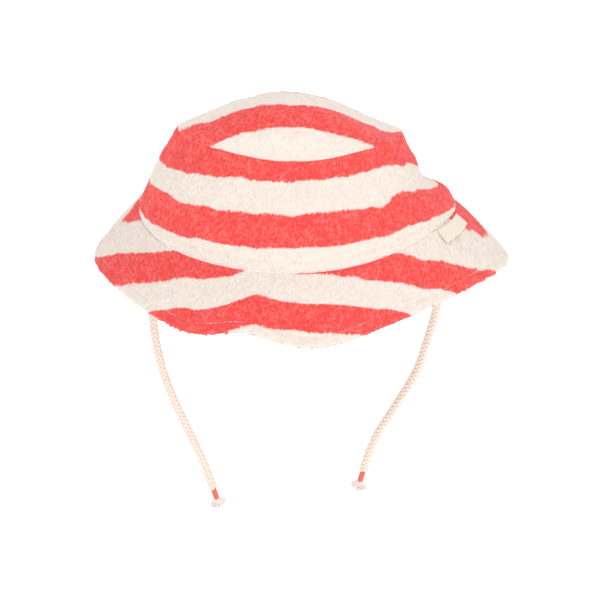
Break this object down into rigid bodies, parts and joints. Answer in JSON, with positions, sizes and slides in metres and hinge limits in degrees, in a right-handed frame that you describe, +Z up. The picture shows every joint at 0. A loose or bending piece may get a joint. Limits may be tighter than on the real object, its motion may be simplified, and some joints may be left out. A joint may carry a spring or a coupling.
{
  "type": "bucket hat",
  "caption": "Child's soft striped terry bucket hat with a domed crown, a wavy brim, a blank side label and braided chin cords.",
  "frame": {"origin": "middle of the head opening, level with the crown and brim seam", "axes": "+Z up through the crown, -Y to the front, +X to the right in a front view"},
  "size_m": [0.2384, 0.2119, 0.2599],
  "materials": {
    "striped_terry": "cotton terry towelling, coral and cream stripes 19 mm wide, matt looped pile",
    "cotton_lining": "plain-weave cream cotton, matt",
    "cotton_twill": "cream cotton twill tape, matt",
    "sewing_thread": "cream polyester-cotton thread, slight sheen",
    "woven_label": "blank cream damask-woven tape, satin",
    "braided_cord": "diamond-braided cream cotton, matt",
    "cord_whipping": "coral whipping thread, smooth",
    "cord_tassel": "frayed cream cotton ends, matt"
  },
  "bodies": {
    "hat": {"crown_top": "striped_terry", "crown_side_front": "striped_terry", "crown_side_back": "striped_terry", "crown_lining_top": "cotton_lining", "crown_lining_front": "cotton_lining", "crown_lining_back": "cotton_lining", "brim_upper_front": "striped_terry", "brim_upper_back": "striped_terry", "brim_under_front": "striped_terry", "brim_under_back": "striped_terry", "sweatband": "cotton_twill", "sweatband_stitches": "sewing_thread", "crown_base_stitches": "sewing_thread", "brim_edge_stitches": "sewing_thread", "size_label": "woven_label", "cord_tab_left": "cotton_twill", "cord_tab_right": "cotton_twill"},
    "side_label": {"side_label": "woven_label"},
    "chin_cord_left": {"chin_cord_left": "braided_cord", "cord_sleeve_left": "cord_whipping", "cord_tassel_left": "cord_tassel"},
    "chin_cord_right": {"chin_cord_right": "braided_cord", "cord_sleeve_right": "cord_whipping", "cord_tassel_right": "cord_tassel"}
  },
  "joints": [
    {"name": "chin_cord_left_swing", "type": "hinge", "parent": "hat", "child": "chin_cord_left", "pos_m": [-0.0783, -0.02698, -0.00385], "axis": [1, 0, 0], "range_deg": [-40, 40]},
    {"name": "chin_cord_right_swing", "type": "hinge", "parent": "hat", "child": "chin_cord_right", "pos_m": [0.0782, -0.02736, 0.00077], "axis": [1, 0, 0], "range_deg": [-40, 40]},
    {"name": "side_label_flap", "type": "hinge", "parent": "hat", "child": "side_label", "pos_m": [0.08418, -0.02858, 0.00478], "axis": [-0.3798, -0.9201, 0.096], "range_deg": [0, 80]}
  ]
}
